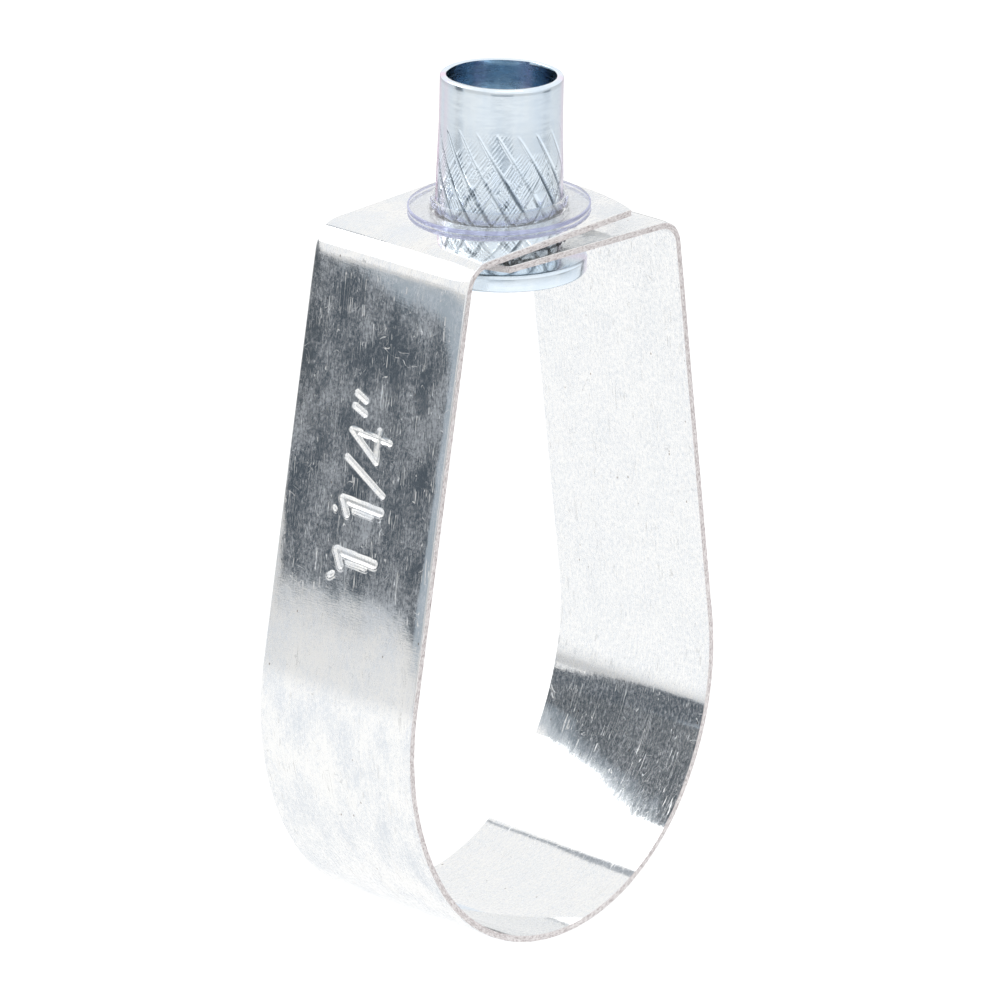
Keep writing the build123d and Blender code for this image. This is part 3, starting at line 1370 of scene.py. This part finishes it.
@dataclass
class SwivelNut:
    """The turned and knurled nut with its flange, in millimetres.

    The flange's flat faces have a ring at each radius given for under or over it. The swell is
    the levels, from the collar's foot, between which the barrel grows to its crests, and rings
    lie closer together where it isn't hidden. The cone's start is how far inside the mouth's
    radius and below its depth it lies, and the cone's ring is a radius and a height above the
    thread. A painted sheen, a pink tint at the barrel's sides, is a middle and a spread in
    degrees round the axis, and a strength.
    """

    thread_radius: float
    thread_middle: float
    thread_length: float
    foot: float
    top: float
    flange_radius: float
    knurl_radius: float = 6.8
    collar_radius: float = 6.57
    flange_height: float = 1.95
    flange_round: float = 0.45
    flange_steps: int = 6
    under_flange: Point2 = (7.0, 8.6)
    over_flange: Point2 = (8.4, 7.4)
    collar_height: float = 5.0
    swell: Point2 = (1.5, -8.5)
    mouth_radius: float = 5.89
    mouth_depth: float = 6.0
    mouth_edge: float = 0.09
    mouth_lip: float = 0.5
    mouth_rings: tuple[float, ...] = (1.0, 2.2, 3.4, 4.6, 5.9)
    cone_start: Point2 = (0.12, 0.1)
    cone_ring: Point2 = (4.95, 0.98)
    thread_run_out: float = 0.8
    rim_round: float = 0.28
    rim_start: float = 15.0
    rim_steps: int = 5
    rim_fall: float = 0.01
    rim_wobble: float = 0.03
    wobble_per_radian: float = 1.3
    rim_burr: float = 0.10
    burr_per_radian: float = 1.6
    lead_in: float = 0.5
    foot_flare: float = 0.3
    pitch: float = 1.5875
    root_radius: float = 4.76
    thread_flat: float = 0.12
    thread_step: float = 0.16
    fine_columns: int = 560
    plain_columns: int = 140
    hidden_below: float = 57.4
    hidden_step: float = 0.25
    knurl_step: float = 0.1
    knurl_margin: float = 1.2
    collar_rings: int = 8
    # Painted iridescent sheen: pink tint placed at the barrel's sides, where they turn away from the view.
    blushes: tuple[Point3, ...] = ((138.0, 9.0, 0.8), (160.0, 5.0, 0.25), (-56.0, 9.0, 0.45))
    # Cut depths over which the painted groove shade comes in, and its curve.
    painted_shade_start: float = 0.02
    painted_shade_depth: float = 0.17
    painted_shade_power: float = 1.3
    sharp_angle: float = 50.0
    grooves: tuple[CoarseGrooves, ...] = (
        CoarseGrooves(1, 0.0, 0.25, 0.0),
        CoarseGrooves(-1, 0.37, 0.16, 2.8),
    )
    hatches: tuple[FineHatch, ...] = (FineHatch(-1, 0.125, -0.4, 32), FineHatch(1, 0.16, 2.4, 34))

    def __post_init__(self) -> None:
        """Works out the levels that the parts share."""
        self.collar_foot = self.top - self.collar_height
        self.angle = np.linspace(0.0, FULL_TURN, self.fine_columns, endpoint=False)

    def knurl(self, height: float) -> np.ndarray:
        """Depth of the knurl below its crests, round one level.

        Args:
            height: Height in the frame.

        Returns:
            Depth in millimetres at each fine column, 0 or more.
        """
        level = np.full_like(self.angle, height)
        depth = np.zeros_like(self.angle)
        for groove in self.grooves:
            depth = np.maximum(depth, groove.sunk(self.angle, level, self.knurl_radius, self.collar_foot))
        for hatch in self.hatches:
            depth = depth + hatch.sunk(self.angle, level, self.knurl_radius, self.collar_foot)
        return depth

    def ring(
        self, maker: MeshMaker, radius: np.ndarray | float, height: np.ndarray | float, count: int,
        groove: np.ndarray | float = 0.0,
    ) -> np.ndarray:
        """Adds one ring of points.

        Args:
            maker: The mesh.
            radius: Radius at each point, or one for all.
            height: Height at each point, or one for all.
            count: Points round the ring.
            groove: How strong the painted shade at the groove's foot is at each point.

        Returns:
            The points' numbers.
        """
        angle = np.linspace(0.0, FULL_TURN, count, endpoint=False)
        radius, height = np.broadcast_to(radius, angle.shape), np.broadcast_to(height, angle.shape)
        # Painted sheen: the pink tint is strongest at each listed angle round the axis.
        blush = np.zeros(count)
        for middle, spread, strength in self.blushes:
            away = np.abs((np.degrees(angle) - middle + 180.0) % 360.0 - 180.0)
            blush += strength * np.exp(-((away / spread) ** 2))
        points = np.stack([radius * np.cos(angle), radius * np.sin(angle), height], 1)
        return maker.add_points(points, groove=np.broadcast_to(groove, angle.shape), blush=blush)

    @staticmethod
    def arc(centre: Point2, radius: float, start: float, end: float, steps: int) -> list[Point2]:
        """Divides a profile's arc.

        Args:
            centre: Radius and height of its centre.
            radius: The arc's own radius.
            start: Degrees at which it starts.
            end: Degrees at which it ends.
            steps: How many lengths it has.

        Returns:
            Radius and height of each point.
        """
        angles = np.radians(np.linspace(start, end, steps + 1))
        return [(centre[0] + radius * math.cos(a), centre[1] + radius * math.sin(a)) for a in angles]

    def flange(self, maker: MeshMaker) -> list[np.ndarray]:
        """Adds the flange, from the threaded hole's foot out and up to the barrel.

        Args:
            maker: The mesh.

        Returns:
            Its rings.
        """
        top, round_off = self.foot + self.flange_height, self.flange_round
        middle = self.flange_radius - round_off
        profile = [(self.thread_radius + self.lead_in, self.foot)]
        profile += [(radius, self.foot) for radius in self.under_flange]
        profile += self.arc((middle, self.foot + round_off), round_off, -90, 0, self.flange_steps)
        profile += self.arc((middle, top - round_off), round_off, 0, 90, self.flange_steps)
        profile += [(radius, top) for radius in self.over_flange]
        return [self.ring(maker, radius, height, self.plain_columns) for radius, height in profile]

    def barrel(self, maker: MeshMaker) -> list[np.ndarray]:
        """Adds the knurled barrel and the smooth collar.

        Args:
            maker: The mesh.

        Returns:
            Its rings.
        """
        knurl_top = self.collar_foot + self.knurl_margin
        levels = np.concatenate([
            np.arange(self.foot + self.flange_height + 0.02, self.hidden_below, self.hidden_step),
            np.arange(self.hidden_below, knurl_top, self.knurl_step),
            np.linspace(knurl_top, self.top - self.rim_round, self.collar_rings),
        ])
        rings = []
        for level in levels:
            swollen = ramp(level, self.collar_foot + self.swell[0], self.collar_foot + self.swell[1])
            crest = self.collar_radius + (self.knurl_radius - self.collar_radius) * swollen
            cut = self.knurl(level)
            # Painted shade: the deeper the cut, the darker the groove's foot is coloured.
            painted_groove_shade = held((cut - self.painted_shade_start) / self.painted_shade_depth) ** self.painted_shade_power
            rings.append(self.ring(maker, crest - cut, level, self.fine_columns, painted_groove_shade))
        return rings

    def rim(self, maker: MeshMaker) -> list[np.ndarray]:
        """Adds the rim, rolled over and a little uneven, as far as the mouth's edge.

        Args:
            maker: The mesh.

        Returns:
            Its rings.
        """
        wobble = value_noise(self.angle * self.wobble_per_radian, 2.0, Seed.RIM_WOBBLE)
        wobble = self.rim_wobble * (1 + wobble)
        burr = value_noise(self.angle * self.burr_per_radian, 6.0, Seed.RIM_BURR)
        burr = self.rim_burr * held(burr)
        centre = (self.collar_radius - self.rim_round, self.top - self.rim_round)
        edge = self.mouth_radius + self.mouth_edge
        rolled = self.arc(centre, self.rim_round, self.rim_start, 90, self.rim_steps)
        profile = [(radius, height - wobble) for radius, height in rolled]
        profile += [(edge - burr, self.top - wobble - self.rim_fall)]
        profile += [(self.mouth_radius - burr, self.top - wobble - self.mouth_edge)]
        return [self.ring(maker, radius, height, self.fine_columns) for radius, height in profile]

    def mouth(self, maker: MeshMaker) -> list[np.ndarray]:
        """Adds the smooth mouth and the cone at its foot.

        Args:
            maker: The mesh.

        Returns:
            Their rings.
        """
        rings = [self.ring(maker, self.mouth_radius, self.top - self.mouth_lip, self.fine_columns)]
        inset, below = self.cone_start
        profile = [(self.mouth_radius, self.top - depth) for depth in self.mouth_rings]
        profile += [(self.mouth_radius - inset, self.top - self.mouth_depth - below)]
        profile += [(self.cone_ring[0], self.thread_middle + self.thread_length / 2 + self.cone_ring[1])]
        return rings + [self.ring(maker, radius, height, self.plain_columns) for radius, height in profile]

    def thread(self, maker: MeshMaker) -> list[np.ndarray]:
        """Adds the thread's turns, which flare at both ends.

        Args:
            maker: The mesh.

        Returns:
            Their rings.
        """
        top = self.thread_middle + self.thread_length / 2
        foot = self.thread_middle - self.thread_length / 2
        turn = np.linspace(0.0, 1.0, self.plain_columns, endpoint=False)
        rings = []
        for level in np.arange(top + self.thread_run_out, foot - 0.01, -self.thread_step):
            phase = np.abs(((level / self.pitch - turn) % 1.0) - 0.5) * 2
            tooth = held((phase - self.thread_flat) / (1 - 2 * self.thread_flat))
            cut = self.thread_radius + (self.root_radius - self.thread_radius) * tooth
            flare = self.thread_radius + max(0.0, level - top) + max(0.0, foot + self.foot_flare - level)
            rings.append(self.ring(maker, np.maximum(cut, flare), level, self.plain_columns))
        return rings

    def build(self, materials: list[bpy.types.Material]) -> bpy.types.Object:
        """Builds the nut as one closed mesh.

        Args:
            materials: The plated finish outside, and a darker copy of it in the bore, which paints in the
                bore's shade.

        Returns:
            The piece.
        """
        maker = MeshMaker()
        rings = self.flange(maker) + self.barrel(maker) + self.rim(maker)
        bore_start = len(rings) - 1
        rings += self.mouth(maker) + self.thread(maker)
        for number, (lower, upper) in enumerate(zip(rings, rings[1:] + rings[:1])):
            maker.join_rings(lower, upper, int(number >= bore_start))
        return maker.finish("nut_knurled", materials, self.sharp_angle)


@dataclass
class RetainingWasher:
    """The clear vinyl washer with its turned-up lip, in millimetres."""

    leaf_height: float
    rise_angle: float
    foot: float = 0.85
    thickness: float = 0.5
    bore: float = 6.88
    radius: float = 9.8
    rim_round: float = 0.14
    rim_finish: float = 0.11
    lip_height: float = 1.0
    lip_width: float = 0.45
    flutter: float = 0.05
    columns: int = 180
    sharp_angle: float = 60.0

    def profile(self) -> list[Point2]:
        """Sets out the cross-section: underside, rim, upper side, lip and bore.

        Returns:
            Radius and height above the washer's foot of each point.
        """
        full, rim, edge = self.thickness, self.radius, self.rim_round
        lip, top = self.bore + self.lip_width, self.thickness + self.lip_height
        return [
            (self.bore, 0.06), (self.bore + 0.06, 0.0), (8.3, 0.0), (rim - 0.3, 0.0),
            (rim - 0.1, 0.02), (rim, edge), (rim, 0.27), (rim, full - edge),
            (rim - 0.05, full - 0.04), (rim - 0.16, full), (9.2, full), (8.4, full),
            (lip + 0.4, full + 0.01), (lip + 0.16, full + 0.1), (lip + 0.03, full + 0.3),
            (lip, top - 0.18), (lip - 0.06, top - 0.04), (lip - 0.2, top), (self.bore + 0.08, top - 0.02),
            (self.bore, top - 0.12), (self.bore, full),
        ]

    def build(self, materials: list[bpy.types.Material]) -> bpy.types.Object:
        """Builds the washer as one closed mesh.

        Args:
            materials: Clear body and deeper rim.

        Returns:
            The piece.
        """
        maker, profile = MeshMaker(), self.profile()
        angle = np.linspace(0.0, FULL_TURN, self.columns, endpoint=False)
        rise = math.radians(self.rise_angle)
        rings = []
        for radius, height in profile:
            on_lip, on_rim = height > self.thickness + 0.5, radius > 9.0
            sunk = self.flutter * value_noise(angle * 2.3, 3.0, Seed.WASHER_LIP) * on_lip
            drawn = self.flutter * value_noise(angle * 1.7, 8.0, Seed.WASHER_RIM) * on_rim
            reach = radius - np.abs(drawn)
            x, y = reach * np.cos(angle), reach * np.sin(angle)
            lift = (self.foot + height - np.abs(sunk)) / math.cos(rise)
            z = self.leaf_height + x * math.tan(rise) + lift
            rings.append(maker.add_points(np.stack([x, y, z], 1)))
        for (radius, _), lower, upper in zip(profile, rings, rings[1:] + rings[:1]):
            maker.join_rings(lower, upper, int(radius > self.radius - self.rim_finish))
        return maker.finish("washer_vinyl", materials, self.sharp_angle)


@dataclass(frozen=True)
class Camera:
    """The photograph's camera, in millimetres and degrees. Its clip is in metres."""

    azimuth: float = -47.072
    elevation: float = 18.22
    roll: float = 1.227
    focal_pixels: float = 9309.489
    image_pixels: float = 1000.0
    distance: float = 999.961
    target_height: float = 18.925
    pan: Point2 = (-0.871, -5.013)
    sensor_mm: float = 36.0
    clip: Point2 = (0.01, 20.0)

    def place(self) -> None:
        """Makes the camera and sets it on the scene."""
        azimuth, elevation, roll = (math.radians(a) for a in (self.azimuth, self.elevation, self.roll))
        back = Vector((math.sin(azimuth) * math.cos(elevation), -math.cos(azimuth) * math.cos(elevation),
                       math.sin(elevation)))
        level = Vector((0, 0, 1)).cross(back).normalized()
        upright = back.cross(level)
        right = level * math.cos(roll) + upright * math.sin(roll)
        up = upright * math.cos(roll) - level * math.sin(roll)
        target = Vector((0, 0, self.target_height))
        place = target + back * self.distance - right * self.pan[0] - up * self.pan[1]
        data = bpy.data.cameras.new("photo_camera")
        data.sensor_fit = "HORIZONTAL"
        data.sensor_width = self.sensor_mm
        data.lens = self.focal_pixels / self.image_pixels * self.sensor_mm
        data.clip_start, data.clip_end = self.clip
        camera = bpy.data.objects.new("photo_camera", data)
        turn = Matrix((right, up, back)).transposed().to_4x4()
        camera.matrix_world = Matrix.Translation(place * MM) @ turn
        bpy.context.scene.collection.objects.link(camera)
        bpy.context.scene.camera = camera


@dataclass(frozen=True)
class Lamp:
    """A soft lamp that looks at the object: degrees from +X towards +Y and up, millimetres and watts."""

    name: str
    azimuth: float
    elevation: float
    distance: float
    size: Point2
    power: float
    aim_height: float = 20.0

    def hang(self) -> None:
        """Hangs the lamp."""
        data = bpy.data.lights.new(self.name, "AREA")
        data.shape = "RECTANGLE"
        data.size, data.size_y = self.size[0] * MM, self.size[1] * MM
        data.energy = self.power
        lamp = bpy.data.objects.new(self.name, data)
        a, e = math.radians(self.azimuth), math.radians(self.elevation)
        way = Vector((math.cos(a) * math.cos(e), math.sin(a) * math.cos(e), math.sin(e)))
        lamp.location = (way * self.distance + Vector((0, 0, self.aim_height))) * MM
        lamp.rotation_euler = way.to_track_quat("Z", "Y").to_euler()
        lamp.visible_camera = False
        bpy.context.scene.collection.objects.link(lamp)


def stand_panel(
    name: str, corners: list[Point3], material: bpy.types.Material
) -> bpy.types.Object:
    """Makes a flat panel and marks it as stage.

    Args:
        name: The panel's name.
        corners: Its corners in millimetres, in order.
        material: Its material.

    Returns:
        The panel.
    """
    mesh = bpy.data.meshes.new(name)
    mesh.from_pydata([[c * MM for c in corner] for corner in corners], [], [tuple(range(len(corners)))])
    mesh.materials.append(material)
    panel = bpy.data.objects.new(name, mesh)
    bpy.context.scene.collection.objects.link(panel)
    return panel


@dataclass(frozen=True)
class Flag:
    """A card beside the object that is out of view and shows only in the metal.

    It stands across the way to its azimuth, and its outline is in millimetres: to the
    right as seen from the object, and up.
    """

    name: str
    azimuth: float
    distance: float
    shade: Colour
    outline: tuple[Point2, ...]
    shades: bool = True

    def stand(self) -> None:
        """Stands the card, seen only in reflections."""
        graph = NodeGraph(bpy.data.materials.new(self.name))
        graph.put(graph.surface, graph.shade("Emission", {"Color": (*self.shade, 1.0)}))
        a = math.radians(self.azimuth)
        way, side = np.array([math.cos(a), math.sin(a)]), np.array([math.sin(a), -math.cos(a)])
        corners = []
        for across, up in self.outline:
            x, y = way * self.distance + side * across
            corners.append((float(x), float(y), float(up)))
        card = stand_panel(self.name, corners, graph.owner)
        card.visible_camera = card.visible_diffuse = card.visible_transmission = False
        card.visible_shadow = self.shades


SLATE_CARD = Flag("slate_card", 139.0, 366.0, (0.080, 0.099, 0.122), (
    (-45, -19.5), (-25, -18.5), (-17, -16.8), (-9, -16), (1, -16), (6.5, -9), (14, 7), (18, 8), (20, -18),
    (70, -18), (60, 30), (50, 70), (30, 95), (8, 95), (4, 44), (-4, 38), (-12, 30), (-20, 25), (-45, 21),
))
TAIL_CARD = Flag("tail_card", 139.0, 200.0, (0.088, 0.104, 0.122), (
    (-5, 20), (22, 20), (22, 40), (20.6, 53.5), (22.8, 70), (24, 83), (24.8, 94), (25.3, 103),
    (28, 112), (35, 133), (59.4, 180), (66, 192), (52, 190), (45, 175), (30, 150), (15, 120),
    (6, 92), (3, 72), (0, 50), (-3, 28),
))
HAZE_CARD = Flag("haze_card", 139.0, 367.0, (0.36, 0.42, 0.48), (
    (-64, -20.5), (-25, -19.9), (-9, -17.4), (-1, -17), (-1, 20), (10, 20), (10, 40), (-64, 40),
))
DUSK_CARD = Flag("dusk_card", 139.0, 201.0, (0.20, 0.24, 0.28), (
    (10, 44), (25.5, 44), (24.6, 53.5), (26.8, 70), (28, 83), (28.8, 94), (29.3, 103), (31, 112), (38, 133),
    (60, 178), (50, 178), (30, 140), (15, 110), (10, 80),
))
DAWN_CARD = Flag("dawn_card", 139.0, 202.0, (0.52, 0.57, 0.62), (
    (10, 46), (29, 46), (28.6, 53.5), (30.8, 70), (32, 83), (32.8, 94), (33.3, 103), (35, 112), (41, 133),
    (61, 176), (50, 176), (30, 140), (15, 110), (10, 80),
))
FRAME_CARD = Flag("frame_card", 94.0, 340.0, (0.34, 0.37, 0.41), (
    (13, 366), (21, 366), (26, 395), (44, 418), (44, 434), (10, 434), (13, 395),
))
BLUE_CARD = Flag("blue_card", 43.0, 30.0, (0.84, 0.91, 0.99), (
    (-22, -24.7), (22, -24.7), (22, -6), (9, -6), (8.1, -9.1), (5.7, -10.4), (3.5, -13.1), (0.9, -15),
    (-1.1, -15.7), (-22, -17),
), shades=False)
SIDE_CARDS = tuple(
    Flag(f"side_card_{azimuth}", float(azimuth), 380.0, (tone, tone * 1.1, tone * 1.2),
         ((-wide, -21), (wide, -21), (wide, 24), (20, 28), (-wide, 22)))
    for azimuth, wide, tone in ((45, 62, 0.16), (225, 140, 0.38), (315, 62, 0.20))
)


@dataclass
class Studio:
    """Pale floor, soft light, and the cards that give the metal its contrast.

    Sizes are in millimetres, except the mirrored middle and reach. The floor's material
    compares those with places in the scene, so they are in metres.
    """

    band_foot: float
    drop_room: float = 2.0
    floor_half_side: float = 3000.0
    floor_colour: Colour = (0.8, 0.8, 0.8)
    camera_glow: float = 0.62
    mirrored_colour: Colour = (0.99, 0.995, 1.0)
    mirrored_reach: Point2 = (0.17, 0.48)
    mirrored_levels: Point2 = (1.08, 0.66)
    mirrored_middle: Point3 = (-0.044, -0.041, 0.0)
    world_light: float = 0.55
    lamps: tuple[Lamp, ...] = (
        Lamp("softbox", 120.5, 38.0, 520.0, (330.0, 300.0), 0.62),
        Lamp("key", 250.0, 62.0, 900.0, (500.0, 500.0), 0.9),
    )
    flags: tuple[Flag, ...] = (
        SLATE_CARD, TAIL_CARD, DUSK_CARD, DAWN_CARD, HAZE_CARD, FRAME_CARD, BLUE_CARD, *SIDE_CARDS,
    )

    def build(self) -> None:
        """Builds the floor, the world, the lamps and the flags."""
        self.lay_floor()
        self.light_world()
        for lamp in self.lamps:
            lamp.hang()
        for flag in self.flags:
            flag.stand()

    def lay_floor(self) -> None:
        """Lays the floor: white to the eye, yet it keeps the object's shadow."""
        graph = NodeGraph(bpy.data.materials.new("pale_floor"))
        rays = graph.add("LightPath").outputs
        place = graph.add("NewGeometry").outputs
        glow = graph.math("MULTIPLY", rays["Is Camera Ray"], self.camera_glow)
        seen = graph.shade("AddShader", {
            0: graph.shade("BsdfDiffuse", {"Color": (*self.floor_colour, 1.0)}),
            1: graph.shade("Emission", {"Color": WHITE, "Strength": glow}),
        })

        # What metal and vinyl show of the floor: white by the object, paler grey far away
        ends = {0: place["Position"], 1: self.mirrored_middle}
        away = graph.add("VectorMath", ends, operation="DISTANCE").outputs["Value"]
        level = graph.spread(away, self.mirrored_reach, self.mirrored_levels)
        mirrored = graph.shade("Emission", {"Color": (*self.mirrored_colour, 1.0), "Strength": level})
        off_metal = graph.math("MAXIMUM", rays["Is Glossy Ray"], rays["Is Transmission Ray"])
        above = graph.shade("MixShader", {0: off_metal, 1: seen, 2: mirrored})

        # From below the floor is open, so that the underside can be seen
        clear = graph.shade("BsdfTransparent")
        graph.put(graph.surface, graph.shade("MixShader", {0: place["Backfacing"], 1: above, 2: clear}))
        side, z = self.floor_half_side, self.band_foot - self.drop_room
        corners = [(-side, -side, z), (side, -side, z), (side, side, z), (-side, side, z)]
        stand_panel("floor", corners, graph.owner)

    def light_world(self) -> None:
        """White background for the eye and the metal, plain soft light for the rest."""
        graph = NodeGraph(bpy.data.worlds.new("studio"), "OutputWorld")
        rays = graph.add("LightPath").outputs
        seen = graph.math("MAXIMUM", rays["Is Camera Ray"], rays["Is Glossy Ray"])
        seen = graph.math("MAXIMUM", seen, rays["Is Transmission Ray"])
        light = graph.shade("Background", {"Color": WHITE, "Strength": self.world_light})
        white = graph.shade("Background", {"Color": WHITE, "Strength": 1.0})
        graph.put(graph.surface, graph.shade("MixShader", {0: seen, 1: light, 2: white}))
        bpy.context.scene.world = graph.owner


def main() -> None:
    """Loads the frame, builds every piece on its body and sets the scene."""
    logging.basicConfig(level=logging.INFO, format="%(name)s: %(message)s")
    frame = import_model()
    bpy.context.scene.view_settings.view_transform = "Standard"
    mounts = {mount["name"]: mount for mount in frame["record"]["mounts"]}
    seat, thread = mounts["pipe_seat"]["dims"], mounts["rod_thread"]

    Camera().place()

    band = Band(seat_radius=seat["r_mm"], width=seat["length_mm"])
    strip = band.build([GalvanisedFinish().material(), ShearedFinish().material()])
    nut_low, nut_high = (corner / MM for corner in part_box(Body.NUT.value))
    nut = SwivelNut(
        thread_radius=thread["dims"]["r_mm"],
        thread_middle=thread["pos_m"][2] / MM,
        thread_length=thread["dims"]["length_mm"],
        foot=nut_low.z,
        top=nut_high.z,
        flange_radius=nut_high.x,
    )
    # The bore's finish is the plated one made darker: painted shade inside the mouth and the thread.
    shaded_bore_finish = PlatedFinish(
        "plated_bore_painted_shade", pale=(0.50, 0.63, 0.74), blue=(0.28, 0.40, 0.51), roughness=(0.09, 0.34)
    )
    barrel = nut.build([PlatedFinish().material(), shaded_bore_finish.material()])
    washer = RetainingWasher(leaf_height=band.upper_leaf_height, rise_angle=band.rise_angle)
    rim_finish = VinylFinish("vinyl_rim", cast=(0.66, 0.69, 1.0), clear=0.45)
    disc = washer.build([VinylFinish().material(), rim_finish.material()])

    for piece, body, slot in (
        (strip, Body.BAND, Slot.STRIP),
        (barrel, Body.NUT, Slot.PLATED),
        (disc, Body.WASHER, Slot.VINYL),
    ):
        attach(piece, body.value)
        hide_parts(body.value)
        LOG.info("%s rides on %s, %d faces", piece.name, body.value, len(piece.data.polygons))

    Studio(band_foot=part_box(Body.BAND.value)[0].z / MM).build()


if __name__ == "__main__":
    main()
